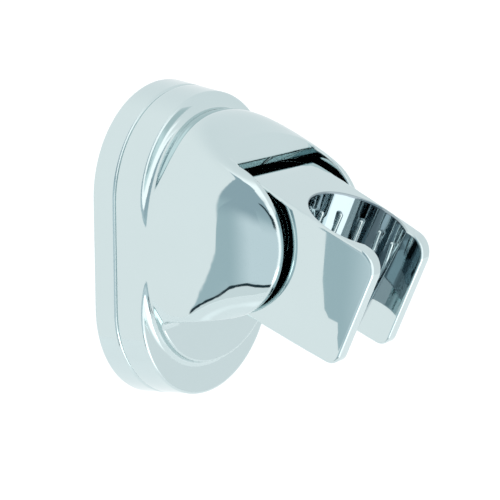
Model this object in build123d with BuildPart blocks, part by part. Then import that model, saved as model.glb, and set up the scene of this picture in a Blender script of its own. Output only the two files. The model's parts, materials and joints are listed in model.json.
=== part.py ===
from build123d import *
from math import cos, radians, sin, tan
import os

os.makedirs("parts", exist_ok=True)

# Frame: the wall is the plane y = 0, -Y points away from the wall and +Z up.
# The origin is the centre of the wall plate's back face. All sizes are in mm.

# Outline of the two stacked layers against the wall
plate_height = 80.0         # at the wall
plate_width = 53.0
front_depth = 14.3          # from the wall to the flat front face
end_taper = 1.9             # of each end, from the wall to the flat front face
side_taper = 0.8            # of each side
seam_depth = 6.3            # where the wall plate and the body meet
seam_round = 0.7            # both edges of the seam
layer_wall = 2.6            # walls of the body's hollow back

# Boss and hood that grow out of the front face
boss_width = 52.2
boss_top = 33.1             # heights over the origin
boss_bottom = -28.5
cove_radius = 1.8
front_round = 0.5           # edge of the flat front face
pad_rise = 2.9              # pad face over the front face
hood_wall = 2.8
hollow_depth = 24.0         # the ears are solid in front of this
web_edge_depth = 34.6       # front edge of the hood between the ears
bevel_angle = 43.0
ear_lead = 1.0              # the ears reach this much further forward over the hood's bevel

# Two ears with the slot for the cradle's hub between them
ear_radius = 19.1
ear_depth = 29.6            # centre of the ears' round outline
ear_height = 6.05
ear_slope = 7.4             # underside of the ears
ear_hollow = 3.0            # hollow corner from the underside to the pad
ear_round = 0.5             # outer edges of the ears and the pad
rim_round = 0.4             # inner edges of the ears' rims
web_round = 0.3             # front edge of the hood
bevel_round = 1.0           # from the bevel into the hood
slot_width = 31.0
slot_wall = 2.5             # wall around the slot

# Cradle, in its own directions: along the arm, across it and up from it
pivot_depth = 32.8
pivot_height = 5.9
tilt = 23.4                 # the arm's slope below level, at rest
hub_radius = 15.8
hub_gap = 2.4               # hub to hood
arm_length = 36.5           # pivot to the prong faces
arm_width = 26.9            # at its widest
arm_widest = 10.5           # pivot to the widest place
side_radius = 300.0         # bow of the arm's sides, seen from above
arm_taper = 3.7             # underside
tip_top_radius = 5.0
tip_bottom_radius = 3.0
arm_round = 0.7
socket_reach = 21.45        # pivot to the socket's axis
socket_mouth = 24.4         # diameter at the top face
socket_cone = 3.3           # half angle
mouth_round = 0.5
prong_gap = 17.6            # front opening between the prongs
disc_diameter = 20.0        # raised discs that guide the hub between the ears
disc_gap = 0.3

# Ribs that grip the hose cone
rib_sides = (-1, 1)
rib_steps = (0.5, 1.5, 2.5, 3.5, 4.5)
rib_pitch = 27.0            # degrees, counted from the pivot's side
rib_radius = 0.6
rib_proud = 0.4
rib_top = 4.8               # below the top face
rib_length = 15.3

# Sprung pivot inside the hub
button_diameter = 12.0
button_length = 9.5
button_play = 0.1
button_inset = 0.1          # behind the face of the disc
spigot_diameter = 7.0
spigot_length = 3.6         # in the ear
spigot_play = 0.08
spigot_end_play = 0.3
spigot_round = 0.6
spring_wire = 1.0
spring_diameter = 6.6       # mean
spring_turns = 6
spring_seat = 5.0           # depth of the spring's pocket in a button
spring_play = 0.3
spring_end_play = 0.02

# Wall plate
floor_thickness = 2.6
plate_wall = 2.5
rim_height = 5.0            # locating rim in front of the plate
rim_thickness = 2.4
rim_play = 0.3
screw_pitch = 44.0
screw_hole = 4.6
screw_head = 9.2
screw_floor = 2.2           # under the screw's head
screw_boss = 13.0
stiffener = 1.6
hook_width = 14.0
hook_lip = 1.0
hook_thickness = 2.0
hook_play = 0.3

# Grub screw that locks the body on the wall plate
grub_diameter = 4.0
grub_depth = 9.2            # from the wall
grub_play = 0.02
grub_length = 4.0
grub_chamfer = 0.4
grub_key = 2.3              # hexagon over its corners
grub_key_depth = 1.8
grub_boss = 10.0            # width of the thicker wall around it
grub_seat = 34.2            # flat on the rim, below the origin
grub_boss_gap = 0.3

front_height = plate_height - 2 * end_taper
front_width = plate_width - 2 * side_taper
half_slot = slot_width / 2
pad_depth = front_depth + pad_rise
pocket_radius = hub_radius + hub_gap
web_edge_height = pivot_height + pocket_radius
bevel_slope = tan(radians(bevel_angle))
cavity_height = front_height - 2 * layer_wall
cavity_width = front_width - 2 * layer_wall
far = 60.0                  # beyond every outside face

tilt_cos = cos(radians(tilt))
tilt_sin = sin(radians(tilt))
pivot = (0, -pivot_depth, pivot_height)
arm_side = Plane(origin=pivot, x_dir=(0, -tilt_cos, -tilt_sin), z_dir=(-1, 0, 0))
arm_top = Plane(origin=pivot, x_dir=(0, -tilt_cos, -tilt_sin), z_dir=(0, -tilt_sin, tilt_cos))
socket_place = arm_top.location * Pos(socket_reach, 0, hub_radius)

# Sections of the boss and hood: depth, half width, height of the widest point, top, bottom, and how full
# the outline's upper and lower corners are
boss_side = boss_width / 2
boss_middle = (boss_top + boss_bottom) / 2
hood_sections = (
    (front_depth, boss_side, boss_middle, boss_top, boss_bottom, 0.57, 0.57),
    (22.0, 25.3, 3.5, 33.4, -26.6, 0.71, 0.71),
    (31.5, 23.95, 5.2, 27.7, -16.9, 0.90, 0.80),
    (41.0, 21.2, 6.05, 23.3, -13.8, 0.90, 0.74),
    (50.0, 15.5, 6.05, 17.4, -5.4, 0.69, 0.71),
)


def layer_outline(depth, inset=0):
    """Stadium of the tapered layers at a distance from the wall."""
    share = depth / front_depth
    height = plate_height + (front_height - plate_height) * share
    width = plate_width + (front_width - plate_width) * share
    with BuildSketch(Plane.XZ.offset(depth)) as outline:
        SlotOverall(height - 2 * inset, width - 2 * inset, rotation=90)
    return outline.sketch


def hood_outline(section, inset=0):
    """Closed outline, level at its top and bottom and upright at its sides."""
    depth, side, middle, top, bottom, top_fullness, bottom_fullness = section
    side = side - inset
    with BuildSketch(Plane.XZ.offset(depth)) as outline:
        with BuildLine():
            for end, fullness in ((top - inset, top_fullness), (bottom + inset, bottom_fullness)):
                for x in (side, -side):
                    Bezier(
                        (x, middle),
                        (x, middle + fullness * (end - middle)),
                        (x * fullness, end),
                        (0, end),
                    )
        make_face()
    return outline.sketch


envelope = [layer_outline(0), layer_outline(far)]
plate_outlines = [layer_outline(0), layer_outline(seam_depth)]
boss_outlines = [hood_outline(section) for section in hood_sections]
core_sections = [(front_depth - layer_wall,) + hood_sections[0][1:], *hood_sections[:3]]
core_outlines = [hood_outline(section, hood_wall) for section in core_sections]

# Side view of the ears' underside, from the pad to the foot of their round outline
ear_foot_depth = ear_depth + ear_radius * sin(radians(ear_slope))
ear_foot_height = ear_height - ear_radius * cos(radians(ear_slope))
ear_root_height = ear_foot_height - (ear_foot_depth - pad_depth) * tan(radians(ear_slope))
bevel_top = web_edge_height + (web_edge_depth - pad_depth) * bevel_slope

with BuildPart() as wall_plate:
    loft(sections=plate_outlines, ruled=True)
    fillet(wall_plate.faces().sort_by(Axis.Y)[0].edges(), seam_round)
    # Hollow back with two screw bosses and a cross of stiffeners
    with BuildSketch(Plane.XZ):
        SlotOverall(plate_height - 2 * plate_wall, plate_width - 2 * plate_wall, rotation=90)
        Rectangle(stiffener, plate_height, mode=Mode.SUBTRACT)
        with GridLocations(screw_pitch, screw_pitch / 2, 1, 3):
            Rectangle(plate_width, stiffener, mode=Mode.SUBTRACT)
        with GridLocations(screw_pitch, screw_pitch, 1, 2):
            Circle(screw_boss / 2, mode=Mode.SUBTRACT)
    extrude(amount=seam_depth - floor_thickness, mode=Mode.SUBTRACT)
    # Locating rim with the flat that the grub screw bears on
    with BuildSketch(Plane.XZ.offset(seam_depth)):
        SlotOverall(cavity_height - 2 * rim_play, cavity_width - 2 * rim_play, rotation=90)
        rim_inset = 2 * (rim_play + rim_thickness)
        SlotOverall(cavity_height - rim_inset, cavity_width - rim_inset, rotation=90, mode=Mode.SUBTRACT)
        with Locations((0, -cavity_height / 2)):
            Rectangle(grub_boss + 2 * grub_boss_gap, cavity_height - 2 * grub_seat, mode=Mode.SUBTRACT)
    extrude(amount=rim_height)
    # Hook that the body hangs on
    with BuildSketch(Plane.XZ.offset(seam_depth + rim_height - hook_thickness)):
        with Locations((0, cavity_height / 2 + hook_lip)):
            Rectangle(hook_width, rim_thickness + rim_play + hook_lip, align=(Align.CENTER, Align.MAX))
    extrude(amount=hook_thickness)
    with BuildSketch(Plane.XZ):
        with GridLocations(screw_pitch, screw_pitch, 1, 2):
            Circle(screw_hole / 2)
    extrude(amount=seam_depth, mode=Mode.SUBTRACT)
    with BuildSketch(Plane.XZ.offset(screw_floor)):
        with GridLocations(screw_pitch, screw_pitch, 1, 2):
            Circle(screw_head / 2)
    extrude(amount=seam_depth - screw_floor, mode=Mode.SUBTRACT)

with BuildPart() as hood_core:
    loft(sections=core_outlines)
    with BuildSketch(Plane.XZ.offset(hollow_depth)):
        Rectangle(2 * plate_width, 2 * plate_height)
    extrude(amount=far, mode=Mode.SUBTRACT)
    # Walls around the hub's pocket
    with BuildSketch(Plane.YZ):
        with Locations((-pivot_depth, pivot_height)):
            Circle(pocket_radius + slot_wall)
        with Locations((-pad_depth + slot_wall, pivot_height)):
            Rectangle(far, far, align=Align.MAX)
    extrude(amount=half_slot + slot_wall, both=True, mode=Mode.SUBTRACT)
    # Wall of the pad and of the ears' underside
    with BuildSketch(Plane.YZ):
        with Locations((-pad_depth + layer_wall, ear_root_height + layer_wall)):
            Rectangle(far, far, align=Align.MAX)
    extrude(amount=far, both=True, mode=Mode.SUBTRACT)

with BuildPart() as holder_body:
    with BuildSketch(Plane.XZ.offset(seam_depth)):
        Rectangle(2 * plate_width, 2 * plate_height)
    extrude(amount=front_depth - seam_depth)
    loft(sections=boss_outlines)
    foot = holder_body.edges().filter_by_position(Axis.Y, -front_depth, -front_depth)
    fillet(foot.filter_by(GeomType.LINE, reverse=True), cove_radius)
    loft(sections=envelope, ruled=True, mode=Mode.INTERSECT)
    fillet(holder_body.faces().sort_by(Axis.Y)[-1].outer_wire().edges(), seam_round)
    flats = holder_body.faces().filter_by(Axis.Y).filter_by_position(Axis.Y, -front_depth, -front_depth)
    fillet([flat.outer_wire().edges().sort_by(SortBy.LENGTH)[-1] for flat in flats], front_round)
    # Round outline and underside of the ears, and the bevel over them
    with BuildSketch(Plane.YZ) as ear_cut:
        with BuildLine():
            Polyline(
                (-web_edge_depth - ear_lead, web_edge_height),
                (-pad_depth - ear_lead, bevel_top),
                (-far, far),
                (-far, -far),
                (-pad_depth, -far),
                (-pad_depth, ear_root_height),
                (-ear_foot_depth, ear_foot_height),
                (-ear_depth, ear_height),
                close=True,
            )
        make_face()
        with Locations((-ear_depth, ear_height)):
            Circle(ear_radius, mode=Mode.SUBTRACT)
        fillet(ear_cut.vertices().sort_by_distance((-pad_depth, ear_root_height))[0], ear_hollow)
    extrude(amount=far, both=True, mode=Mode.SUBTRACT)
    outline = holder_body.edges(Select.LAST).filter_by(GeomType.LINE, reverse=True)
    fillet(outline.filter_by_position(Axis.Z, -far, web_edge_height), ear_round)
    # Slot for the hub and the arm
    with BuildSketch(Plane.YZ):
        with BuildLine():
            Polyline(
                (-pivot_depth, web_edge_height),
                (-web_edge_depth, web_edge_height),
                (-pad_depth, bevel_top),
                (-far, far),
                (-far, -far),
                (-pad_depth, -far),
                (-pad_depth, pivot_height),
                (-pivot_depth, pivot_height),
                close=True,
            )
        make_face()
        with Locations((-pivot_depth, pivot_height)):
            Circle(pocket_radius)
    extrude(amount=half_slot, both=True, mode=Mode.SUBTRACT)
    bevel = holder_body.faces(Select.LAST).filter_by(GeomType.PLANE).sort_by(Axis.Z)[-1]
    fillet(bevel.edges().filter_by(GeomType.LINE, reverse=True), bevel_round)
    for side in (-half_slot, half_slot):
        rims = holder_body.edges().filter_by(GeomType.CIRCLE).filter_by_position(Axis.X, side, side)
        fillet(rims.sort_by(Axis.Y)[0], rim_round)
    web_edge = (0, -web_edge_depth, web_edge_height)
    fillet(holder_body.edges().filter_by(Axis.X).sort_by_distance(web_edge)[0], web_round)
    # Blind sockets for the pivot buttons
    with BuildSketch(Plane.YZ):
        with Locations((-pivot_depth, pivot_height)):
            Circle(spigot_diameter / 2 + spigot_play)
    extrude(amount=half_slot + spigot_length + spigot_end_play, both=True, mode=Mode.SUBTRACT)
    # Hollow back
    with BuildSketch(Plane.XZ.offset(seam_depth)):
        SlotOverall(cavity_height, cavity_width, rotation=90)
        with Locations((0, -cavity_height / 2)):
            Rectangle(grub_boss, cavity_height - 2 * (grub_seat + grub_boss_gap), mode=Mode.SUBTRACT)
    extrude(amount=front_depth - layer_wall - seam_depth, mode=Mode.SUBTRACT)
    add(hood_core.part, mode=Mode.SUBTRACT)
    with BuildSketch(Plane.XZ.offset(seam_depth + rim_height - hook_thickness - hook_play)):
        with Locations((0, cavity_height / 2 + hook_lip + hook_play)):
            hook_room = rim_thickness + hook_lip + 2 * hook_play
            Rectangle(hook_width + 2 * hook_play, hook_room, align=(Align.CENTER, Align.MAX))
    extrude(amount=hook_thickness + 2 * hook_play, mode=Mode.SUBTRACT)
    with BuildSketch(Plane.XY.offset(-grub_seat)):
        with Locations((0, -grub_depth)):
            Circle(grub_diameter / 2 + grub_play)
    extrude(amount=-far, mode=Mode.SUBTRACT)

with BuildPart() as rib:
    Cylinder(rib_radius, rib_length)
    fillet(rib.edges().filter_by(GeomType.CIRCLE), rib_radius - 0.05)

# A rib lies along the socket's wall, most of it inside the wall
rib_middle = rib_top + rib_length / 2
rib_reach = socket_mouth / 2 - rib_middle * tan(radians(socket_cone)) + rib_radius - rib_proud
rib_angles = [180 + side * step * rib_pitch for step in rib_steps for side in rib_sides]

with BuildPart() as cradle:
    with BuildSketch(arm_side) as arm_outline:
        foot_angle = radians(arm_taper)
        foot_u = hub_radius * sin(foot_angle)
        foot_v = -hub_radius * cos(foot_angle)
        tip_v = foot_v + (arm_length - foot_u) * tan(foot_angle)
        with BuildLine():
            Line((0, hub_radius), (arm_length, hub_radius))
            Line((arm_length, hub_radius), (arm_length, tip_v))
            Line((arm_length, tip_v), (foot_u, foot_v))
            ThreePointArc((foot_u, foot_v), (-hub_radius, 0), (0, hub_radius))
        make_face()
        fillet(arm_outline.vertices().group_by(Axis.X)[-1].sort_by(Axis.Y)[-1], tip_top_radius)
        fillet(arm_outline.vertices().group_by(Axis.X)[-1].sort_by(Axis.Y)[0], tip_bottom_radius)
    extrude(amount=arm_width, both=True)
    with BuildSketch(arm_top.offset(-far / 2)):
        with Locations((arm_widest, side_radius - arm_width / 2)):
            Circle(side_radius)
        with Locations((arm_widest, arm_width / 2 - side_radius)):
            Circle(side_radius, mode=Mode.INTERSECT)
    extrude(amount=far, mode=Mode.INTERSECT)
    fillet(cradle.faces().sort_by(Axis.X)[0].edges(), arm_round)
    fillet(cradle.faces().sort_by(Axis.X)[-1].edges(), arm_round)
    # Raised discs beside the hub
    with BuildSketch(arm_side):
        Circle(disc_diameter / 2)
    extrude(amount=half_slot - disc_gap, both=True)
    with BuildSketch(arm_side):
        Circle(button_diameter / 2 + button_play)
    extrude(amount=half_slot, both=True, mode=Mode.SUBTRACT)
    # Front opening and conical socket
    with BuildSketch(Plane(socket_place)):
        with Locations((far / 2, 0)):
            Rectangle(far, prong_gap)
    extrude(amount=-far, mode=Mode.SUBTRACT)
    with Locations(socket_place):
        cone_height = 2 * hub_radius
        cone_foot = socket_mouth / 2 - cone_height * tan(radians(socket_cone))
        Cone(
            cone_foot,
            socket_mouth / 2,
            cone_height,
            align=(Align.CENTER, Align.CENTER, Align.MAX),
            mode=Mode.SUBTRACT,
        )
    mouth = cradle.edges(Select.LAST)
    fillet(mouth, mouth_round)
    places = [
        socket_place * Rot(0, 0, angle) * Pos(rib_reach, 0, -rib_middle) * Rot(0, -socket_cone, 0)
        for angle in rib_angles
    ]
    with Locations(*places):
        add(rib.part)

with BuildPart() as pivot_button_left:
    with BuildSketch(Plane.YZ.offset(-half_slot - spigot_length)):
        with Locations((-pivot_depth, pivot_height)):
            Circle(spigot_diameter / 2)
    extrude(amount=spigot_length + disc_gap + button_inset)
    fillet(pivot_button_left.edges().sort_by(Axis.X)[0], spigot_round)
    with BuildSketch(Plane.YZ.offset(-half_slot + disc_gap + button_inset)):
        with Locations((-pivot_depth, pivot_height)):
            Circle(button_diameter / 2)
    extrude(amount=button_length)
    with BuildSketch(Plane.YZ.offset(-half_slot + disc_gap + button_inset + button_length)):
        with Locations((-pivot_depth, pivot_height)):
            Circle(spring_diameter / 2 + spring_wire / 2 + spring_play)
    extrude(amount=-spring_seat, mode=Mode.SUBTRACT)

with BuildPart() as pivot_button_right:
    add(pivot_button_left.part.mirror(Plane.YZ))

# The spring spans from pocket floor to pocket floor
button_face = half_slot - disc_gap - button_inset
spring_half = button_face - button_length + spring_seat - spring_end_play - spring_wire / 2

with BuildPart() as pivot_spring:
    with BuildLine() as coil:
        Helix(
            2 * spring_half / spring_turns,
            2 * spring_half,
            spring_diameter / 2,
            center=(-spring_half, -pivot_depth, pivot_height),
            direction=(1, 0, 0),
        )
    with BuildSketch(Plane(coil.line @ 0, z_dir=coil.line % 0)):
        Circle(spring_wire / 2)
    sweep()

with BuildPart() as grub_screw:
    with BuildSketch(Plane.XY.offset(-grub_seat - spring_end_play)):
        with Locations((0, -grub_depth)):
            Circle(grub_diameter / 2)
    extrude(amount=-grub_length)
    chamfer(grub_screw.edges().filter_by(GeomType.CIRCLE), grub_chamfer)
    with BuildSketch(Plane(grub_screw.faces().sort_by(Axis.Z)[0])):
        RegularPolygon(grub_key / 2, 6)
    extrude(amount=-grub_key_depth, mode=Mode.SUBTRACT)

pieces = {
    "wall_plate": wall_plate,
    "holder_body": holder_body,
    "cradle": cradle,
    "pivot_button_left": pivot_button_left,
    "pivot_button_right": pivot_button_right,
    "pivot_spring": pivot_spring,
    "grub_screw": grub_screw,
}
for name, piece in pieces.items():
    piece.part.label = name
    export_step(piece.part, f"parts/{name}.step")
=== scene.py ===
import json
import math

import bpy
from mathutils import Matrix, Vector

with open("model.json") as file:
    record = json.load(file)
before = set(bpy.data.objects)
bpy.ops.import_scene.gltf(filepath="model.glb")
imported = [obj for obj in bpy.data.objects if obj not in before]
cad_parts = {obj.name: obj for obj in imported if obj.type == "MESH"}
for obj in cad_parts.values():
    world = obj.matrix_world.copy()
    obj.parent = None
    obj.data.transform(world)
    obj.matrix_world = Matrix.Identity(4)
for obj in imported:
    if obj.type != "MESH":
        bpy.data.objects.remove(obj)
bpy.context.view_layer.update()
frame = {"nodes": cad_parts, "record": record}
nodes = frame["nodes"]
scene = bpy.context.scene


def feed(tree, socket, value):
    """Links another node's output to a socket, or sets the socket to a constant."""
    if isinstance(value, bpy.types.NodeSocket):
        tree.links.new(value, socket)
    elif socket.type == "RGBA":
        socket.default_value = (*value, 1)
    else:
        socket.default_value = value


def add(tree, kind, **settings):
    """New node; each setting names one of its inputs or else one of its properties."""
    node = tree.nodes.new(kind)
    for name, value in settings.items():
        if name in node.inputs:
            feed(tree, node.inputs[name], value)
        else:
            setattr(node, name, value)
    return node


def calculate(tree, operation, *terms):
    """Result of a maths node; a term is a number or another node's output."""
    node = add(tree, "ShaderNodeMath", operation=operation)
    for socket, term in zip(node.inputs, terms):
        feed(tree, socket, term)
    return node.outputs["Value"]


def combine(tree, operation, *terms):
    """Result of a vector maths node: a number for a length, distance or dot product, else a vector."""
    node = add(tree, "ShaderNodeVectorMath", operation=operation)
    for socket, term in zip(node.inputs, terms):
        feed(tree, socket, term)
    gives_number = operation in ("LENGTH", "DISTANCE", "DOT_PRODUCT")
    return node.outputs["Value" if gives_number else "Vector"]


def fade(tree, value, start, end, first=0.0, last=1.0, kind="SMOOTHSTEP"):
    """Number that goes from first to last while the value goes from start to end."""
    limits = {"From Min": start, "From Max": end, "To Min": first, "To Max": last}
    node = add(tree, "ShaderNodeMapRange", interpolation_type=kind, Value=value, **limits)
    return node.outputs["Result"]


def mix(tree, mask, under, over):
    """Colour that is under where the mask is 0 and over where it is 1."""
    node = add(tree, "ShaderNodeMix", data_type="RGBA", Factor=mask, A=under, B=over)
    return node.outputs["Result"]


def all_of(tree, *masks):
    """Mask of what lies in every one of the masks."""
    mask = masks[0]
    for other in masks[1:]:
        mask = calculate(tree, "MULTIPLY", mask, other)
    return mask


def heading(azimuth, elevation=0.0):
    """Direction by its angle from -Y, positive towards +X, and its height, in degrees."""
    a = math.radians(azimuth)
    e = math.radians(elevation)
    return Vector((math.sin(a) * math.cos(e), -math.cos(a) * math.cos(e), math.sin(e)))


# Materials
def new_material(name):
    """Material with its node tree and its Principled shader."""
    material = bpy.data.materials.new(name)
    material.use_nodes = True
    tree = material.node_tree
    return material, tree, tree.nodes["Principled BSDF"]


def noise(tree, scale, detail, stretch=(1, 1, 1)):
    """Factor of a noise in the object's own coordinates, in metres."""
    place = add(tree, "ShaderNodeTexCoord").outputs["Object"]
    mapping = add(tree, "ShaderNodeMapping", Vector=place, Scale=stretch)
    stretched = mapping.outputs["Vector"]
    texture = add(tree, "ShaderNodeTexNoise", Vector=stretched, Scale=scale, Detail=detail, Roughness=0.55)
    return texture.outputs["Fac"]


def ramp(tree, factor, first, last, start=0.3, end=0.7):
    """Grey or colour that goes from first to last while the factor goes from start to end."""
    node = add(tree, "ShaderNodeValToRGB", Fac=factor)
    for element, position, tone in zip(node.color_ramp.elements, (start, end), (first, last)):
        element.position = position
        colour = tone if isinstance(tone, tuple) else (tone, tone, tone)
        element.color = (*colour, 1)
    return node.outputs["Color"]


def surface(tree, shader, colour, roughness, bump):
    """Links a material's colour, roughness and relief to its shader."""
    tree.links.new(colour, shader.inputs["Base Color"])
    tree.links.new(roughness, shader.inputs["Roughness"])
    tree.links.new(bump.outputs["Normal"], shader.inputs["Normal"])


# Cone of the cradle's socket: the frame's mount gives its mouth and its axis
socket_mount = next(m for m in frame["record"]["mounts"] if m["name"] == "handset_socket")
socket_mouth = Vector(socket_mount["pos_m"])
socket_axis = Vector(socket_mount["axis"])
socket_front = Vector((0, -socket_axis.z, socket_axis.y))
socket_radius = 0.0122                          # at the mouth
socket_slope = math.tan(math.radians(3.3))

# Band of the socket's wall that gets painted shade, by its distance inwards from the cone
wall_start = -0.0004
wall_full = -0.0002
crown_start = 0.0002                            # the ribs' crowns stand proud and get no painted shade
crown_full = 0.00035
shelter_start = 0.002                           # the painted shade grows fainter from here to the front
shelter_end = 0.009
shelter_least = 0.35


def socket_painted_shade(tree):
    """Mask of the shade painted on the socket's wall, in the cradle's own coordinates."""
    place = add(tree, "ShaderNodeTexCoord").outputs["Object"]
    arm = combine(tree, "SUBTRACT", place, socket_mouth)
    height = combine(tree, "DOT_PRODUCT", arm, socket_axis)
    distance = combine(tree, "LENGTH", combine(tree, "CROSS_PRODUCT", arm, socket_axis))
    cone = calculate(tree, "MULTIPLY_ADD", height, socket_slope, socket_radius)
    inward = calculate(tree, "SUBTRACT", cone, distance)
    wall = fade(tree, inward, wall_start, wall_full, kind="LINEAR")
    beside_crown = fade(tree, inward, crown_start, crown_full, 1.0, 0.0, kind="LINEAR")
    forward = combine(tree, "DOT_PRODUCT", arm, socket_front)
    shelter = fade(tree, forward, shelter_start, shelter_end, 1.0, shelter_least)
    return all_of(tree, shelter, wall, beside_crown)


plating = (0.582, 0.684, 0.694)
# darker tint, painted as shade inside the socket
socket_shade_tint = (0.30, 0.37, 0.40)


def mottled(tree, tone, colour, share):
    """Colour that varies down to a share of itself with the tone."""
    return ramp(tree, tone, tuple(c * share for c in colour), colour)


def chrome(name, soft_edge, painted_shade=None):
    """Bright chromium plating: fine haze, faint waviness, rounded edges, and painted shade, a darker tint,
    where a shade mask is given.
    """
    material, tree, shader = new_material(name)
    shader.inputs["Metallic"].default_value = 1.0
    tone = noise(tree, scale=60, detail=3)
    colour = mottled(tree, tone, plating, share=0.985)
    if painted_shade:
        # painted shade: the darker tint where the socket's mask is
        colour = mix(tree, painted_shade(tree), colour, mottled(tree, tone, socket_shade_tint, share=0.9))
    roughness = ramp(tree, noise(tree, scale=140, detail=6), 0.022, 0.05, start=0.35, end=0.75)
    wave = noise(tree, scale=45, detail=1)
    edges = add(tree, "ShaderNodeBevel", Radius=soft_edge, samples=8).outputs["Normal"]
    bump = add(tree, "ShaderNodeBump", Strength=0.012, Distance=0.0006, Normal=edges, Height=wave)
    surface(tree, shader, colour, roughness, bump)
    return material


def acetal(name):
    """Off-white moulded acetal."""
    material, tree, shader = new_material(name)
    tone = noise(tree, scale=300, detail=4)
    colour = ramp(tree, tone, (0.70, 0.69, 0.65), (0.80, 0.79, 0.75))
    roughness = ramp(tree, tone, 0.38, 0.52)
    bump = add(tree, "ShaderNodeBump", Strength=0.06, Distance=0.0001, Height=tone)
    surface(tree, shader, colour, roughness, bump)
    return material


def steel(name, stretch):
    """Drawn or turned stainless steel with fine lines along the work."""
    material, tree, shader = new_material(name)
    shader.inputs["Metallic"].default_value = 1.0
    lines = noise(tree, scale=900, detail=4, stretch=stretch)
    colour = ramp(tree, lines, (0.46, 0.46, 0.47), (0.64, 0.64, 0.65))
    roughness = ramp(tree, lines, 0.22, 0.38)
    bump = add(tree, "ShaderNodeBump", Strength=0.15, Distance=0.00005, Height=lines)
    surface(tree, shader, colour, roughness, bump)
    return material


def dress(node, material):
    """Gives a CAD node its one material."""
    materials = nodes[node].data.materials
    materials.clear()
    materials.append(material)


dress("wall_plate", chrome("plate_plating", soft_edge=0.0006))
dress("holder_body", chrome("body_plating", soft_edge=0.0007))
# the cradle's socket gets painted shade
dress("cradle", chrome("cradle_plating", soft_edge=0.0004, painted_shade=socket_painted_shade))
buttons = acetal("button_acetal")
dress("pivot_button_left", buttons)
dress("pivot_button_right", buttons)
dress("pivot_spring", steel("spring_wire", stretch=(0.2, 1, 1)))
dress("grub_screw", steel("screw_steel", stretch=(1, 1, 0.2)))


# Light: a pale tent around the part, with a grey-blue opening on the camera's side
tent_strength = 1.12
tent_white = (1.0, 1.0, 1.0)
tent_dim = (0.87, 0.89, 0.90)
opening_dark = (0.37, 0.47, 0.52)
opening_mid = (0.46, 0.57, 0.61)
opening_pale = (0.74, 0.82, 0.86)
opening_line = (0.02, 0.04, 0.05)
under_opening = (0.84, 0.87, 0.88)
panel_bright = (1.34, 1.32, 1.32)
strip_bright = (2.5, 2.45, 2.4)

# Sides of the opening and the dark crack along the right one, in degrees: (height, azimuth)
left_side = [
    (-90, -112), (-49, -108), (-43, -106), (-33, -104.5), (-24, -103), (-16, -100), (-11, -98.4),
    (3, -98), (16, -94.7), (38, -86.5), (64, -74), (84, -54), (90, -50),
]
right_side = [(-90, -47), (-40, -47), (2, -47.5), (25, -46), (58, -45), (68, -39), (90, -36)]
crack_side = [
    (-90, -47), (5, -47), (11, -46.5), (16, -47.3), (21, -49.3), (26, -51.2), (30, -53.5), (90, -58),
]

# Bottom of the opening, in degrees: (azimuth, height)
bottom_side = [
    (-180, -50), (-106, -49), (-96, -48.5), (-94.2, -44.5), (-91.7, -40.5), (-88.6, -38.7),
    (-83, -39.6), (-77, -43.2), (-68, -45.8), (-47, -48), (180, -50),
]
line_reach = 2.0                                # of the dark line and the crack, to either side
full_turn = 360                                 # range of an azimuth
full_height = 180                               # range of a height

world = bpy.data.worlds.new("tent")
scene.world = world
world.use_nodes = True
sky = world.node_tree
sky.nodes.clear()
look = add(sky, "ShaderNodeTexCoord").outputs["Generated"]


def above(value, limit, soft):
    """Mask of the sky where a value is past a limit."""
    return fade(sky, value, limit - soft, limit + soft)


def below(value, limit, soft):
    """Mask of the sky where a value is short of a limit."""
    return fade(sky, value, limit - soft, limit + soft, 1.0, 0.0)


def beyond(normal, soft):
    """Mask of the half of the sky on the side that a direction points to."""
    return above(combine(sky, "DOT_PRODUCT", look, normal.normalized()), 0.0, soft)


def along(angle, angle_range, points, value_range):
    """Angle read off a line of points over another angle, both in degrees."""
    place = calculate(sky, "MULTIPLY_ADD", angle, 1 / angle_range, 0.5)
    node = add(sky, "ShaderNodeFloatCurve", Value=place)
    line = node.mapping.curves[0].points
    while len(line) < len(points):
        line.new(0.5, 0.5)
    for knot, (at, value) in zip(line, points):
        knot.location = (at / angle_range + 0.5, value / value_range + 0.5)
        knot.handle_type = "VECTOR"
    node.mapping.update()
    return calculate(sky, "MULTIPLY_ADD", node.outputs["Value"], value_range, -0.5 * value_range)


# Where a ray looks, and how far that is from each edge, in degrees
axes = add(sky, "ShaderNodeSeparateXYZ", Vector=look).outputs
from_wall = calculate(sky, "MULTIPLY", axes["Y"], -1.0)
azimuth = calculate(sky, "DEGREES", calculate(sky, "ARCTAN2", axes["X"], from_wall))
height = calculate(sky, "DEGREES", calculate(sky, "ARCSINE", axes["Z"]))
past_left = calculate(sky, "SUBTRACT", azimuth, along(height, full_height, left_side, full_turn))
past_right = calculate(sky, "SUBTRACT", azimuth, along(height, full_height, right_side, full_turn))
past_crack = calculate(sky, "SUBTRACT", azimuth, along(height, full_height, crack_side, full_turn))
over_bottom = calculate(sky, "SUBTRACT", height, along(azimuth, full_turn, bottom_side, full_height))
off_bottom = calculate(sky, "ABSOLUTE", over_bottom)
off_crack = calculate(sky, "ABSOLUTE", past_crack)

# The opening, its dark lower line and the crack
opening_width = all_of(sky, above(past_left, 0.0, soft=1.0), below(past_right, 0.0, soft=0.8))
opening = all_of(sky, opening_width, above(over_bottom, 0.0, soft=0.5))
bottom_line = all_of(sky, opening_width, below(off_bottom, line_reach, soft=0.5))
below_opening = all_of(sky, opening_width, below(over_bottom, -1.0, soft=1.0))
crack_height = all_of(sky, above(height, 4.0, soft=3.0), below(height, 31.5, soft=1.0))
crack = all_of(sky, below(off_crack, line_reach, soft=0.6), crack_height)
pale_part = all_of(sky, beyond(heading(0, -82), soft=0.16), beyond(heading(6), soft=0.2))
opening_tone = mix(sky, pale_part, opening_mid, opening_pale)
opening_tone = mix(sky, above(height, 12.0, soft=9.0), opening_tone, opening_dark)

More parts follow.
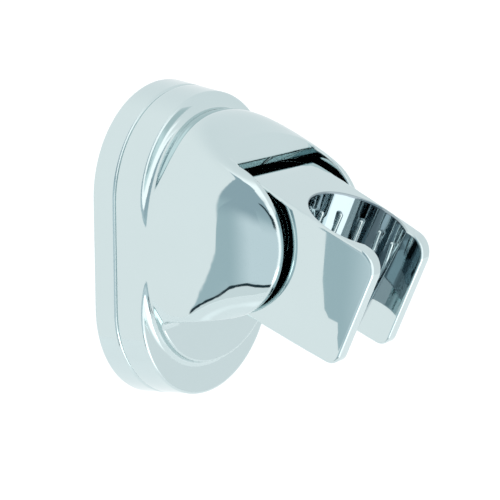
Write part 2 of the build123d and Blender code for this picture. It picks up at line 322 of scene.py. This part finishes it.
# The tent's dim side and its bright panels, to the right of the opening
dim_part = all_of(sky, beyond(heading(60), soft=0.35), beyond(heading(110), soft=0.5))
bright_part = all_of(
    sky, beyond(heading(41), soft=0.02), beyond(heading(-60), soft=0.1), beyond(heading(-10, -50), soft=0.05),
)
high_strip = all_of(
    sky, beyond(heading(46), soft=0.04), beyond(heading(-95), soft=0.15), beyond(heading(-28, 60), soft=0.4),
)
low_band = all_of(
    sky, beyond(heading(42), soft=0.02), beyond(heading(-76), soft=0.05),
    above(height, -48.0, soft=2.0), below(height, -30.0, soft=2.0),
)

# Each layer covers the ones before it
layers = [
    (dim_part, tent_dim),
    (bright_part, panel_bright),
    (high_strip, panel_bright),
    (low_band, strip_bright),
    (opening, opening_tone),
    (below_opening, under_opening),
    (bottom_line, opening_line),
    (crack, opening_line),
]
tent_tone = tent_white
for mask, colour in layers:
    tent_tone = mix(sky, mask, tent_tone, colour)

# The camera itself sees a white backdrop
tent = add(sky, "ShaderNodeBackground", Color=tent_tone, Strength=tent_strength)
backdrop = add(sky, "ShaderNodeBackground", Color=tent_white, Strength=tent_strength)
seen_by_camera = add(sky, "ShaderNodeLightPath").outputs["Is Camera Ray"]
choice = add(sky, "ShaderNodeMixShader", Fac=seen_by_camera)
sky.links.new(tent.outputs["Background"], choice.inputs[1])
sky.links.new(backdrop.outputs["Background"], choice.inputs[2])
add(sky, "ShaderNodeOutputWorld", Surface=choice.outputs["Shader"])


def sheet(name, corners, material):
    """Flat sheet of the studio, beside or below the part."""
    mesh = bpy.data.meshes.new(name)
    mesh.from_pydata(corners, [], [tuple(range(len(corners)))])
    mesh.materials.append(material)
    panel = bpy.data.objects.new(name, mesh)
    scene.collection.objects.link(panel)
    return panel


# Grey card beside the part: it darkens the front of the near prong and stays out of the camera's view
card_side = -0.065
card_outline = [
    (-0.0440, 0.032), (-0.0300, 0.016), (-0.0282, 0.004), (-0.0279, -0.004), (-0.0281, -0.017),
    (-0.0290, -0.021), (-0.0297, -0.025), (-0.0315, -0.0275), (-0.0350, -0.0287), (-0.0357, -0.034),
    (-0.0362, -0.037), (-0.0640, -0.037), (-0.0640, 0.032),
]
card_pale_end = -0.052                          # along Y, pale in front of this
card_mid_start = -0.035
card_mid_end = 0.008                            # along Z, darker from here up
card_dark_start = 0.024


def card_material():
    """Grey that glows: pale at the front, darker towards the wall and the top."""
    material, tree = new_material("card_grey")[:2]
    tree.nodes.clear()
    place = add(tree, "ShaderNodeTexCoord").outputs["Object"]
    axes = add(tree, "ShaderNodeSeparateXYZ", Vector=place).outputs
    tone = mix(tree, fade(tree, axes["Y"], card_pale_end, card_mid_start), opening_pale, opening_mid)
    tone = mix(tree, fade(tree, axes["Z"], card_mid_end, card_dark_start), tone, opening_dark)
    glow = add(tree, "ShaderNodeEmission", Color=tone, Strength=tent_strength)
    add(tree, "ShaderNodeOutputMaterial", Surface=glow.outputs["Emission"])
    return material


card = sheet("card", [(card_side, y, z) for y, z in card_outline], card_material())
card.visible_camera = False
card.visible_diffuse = False
card.visible_shadow = False


# Plain pale floor, well below the part, with two front edges, each square to its azimuth from the origin
floor_height = -0.3
left_azimuth = -78
right_azimuth = -12
left_edge = heading(left_azimuth) * 0.222
right_edge = heading(right_azimuth) * 0.25
floor_reach = 8.0
far_corner = heading(127) * 1.5 * floor_reach
painted_pool_centre = heading(-60) * 0.09               # centre of a pool of light painted into the floor's glow
pool_core = 0.018
pool_reach = 0.06
painted_pool_glow = 0.28
floor_glow = 0.12


def floor_material():
    """Matt pale paper that glows a little, and more in a pool of light painted into its glow."""
    material, tree, shader = new_material("floor_paper")
    shader.inputs["Roughness"].default_value = 0.9
    shader.inputs["Specular IOR Level"].default_value = 0.1
    shader.inputs["Emission Color"].default_value = (1, 1, 1, 1)
    paper = ramp(tree, noise(tree, scale=8, detail=2), 0.93, 0.95)
    tree.links.new(paper, shader.inputs["Base Color"])
    place = add(tree, "ShaderNodeTexCoord").outputs["Object"]
    away = combine(tree, "DISTANCE", place, (painted_pool_centre.x, painted_pool_centre.y, floor_height))
    # painted pool of light: the glow rises towards its centre
    glow = fade(tree, away, pool_core, pool_reach, painted_pool_glow, floor_glow)
    tree.links.new(glow, shader.inputs["Emission Strength"])
    return material


left_run = heading(left_azimuth - 90)
right_run = heading(right_azimuth + 90)
to_crossing = (left_edge - right_edge).cross(left_run).z / right_run.cross(left_run).z
floor_corners = [
    right_edge + right_run * to_crossing,
    left_edge + left_run * floor_reach,
    far_corner,
    right_edge + right_run * floor_reach,
]
floor = sheet("floor", [(c.x, c.y, floor_height) for c in floor_corners], floor_material())


# Camera, from the fit on the photograph's outlines
view_azimuth = -52.97
view_elevation = 12.61
view_distance = 0.4524
view_target = Vector((0, -0.025, 0))
target_right = 0.00168                          # shift of the target in the picture's plane
target_up = -0.00006
picture_width = 500                             # in pixels, like the focal length
focal_length = 1845.8
sensor_width = 36

right = heading(view_azimuth + 90)
back = heading(view_azimuth, view_elevation)
up = back.cross(right)
camera_data = bpy.data.cameras.new("camera")
camera_data.sensor_width = sensor_width
camera_data.lens = focal_length / picture_width * sensor_width
camera_data.clip_start = 0.01
camera = bpy.data.objects.new("camera", camera_data)
scene.collection.objects.link(camera)
camera.matrix_world = Matrix((right, up, back)).transposed().to_4x4()
camera.location = view_target + right * target_right + up * target_up + back * view_distance
scene.camera = camera
scene.view_settings.view_transform = "Standard"
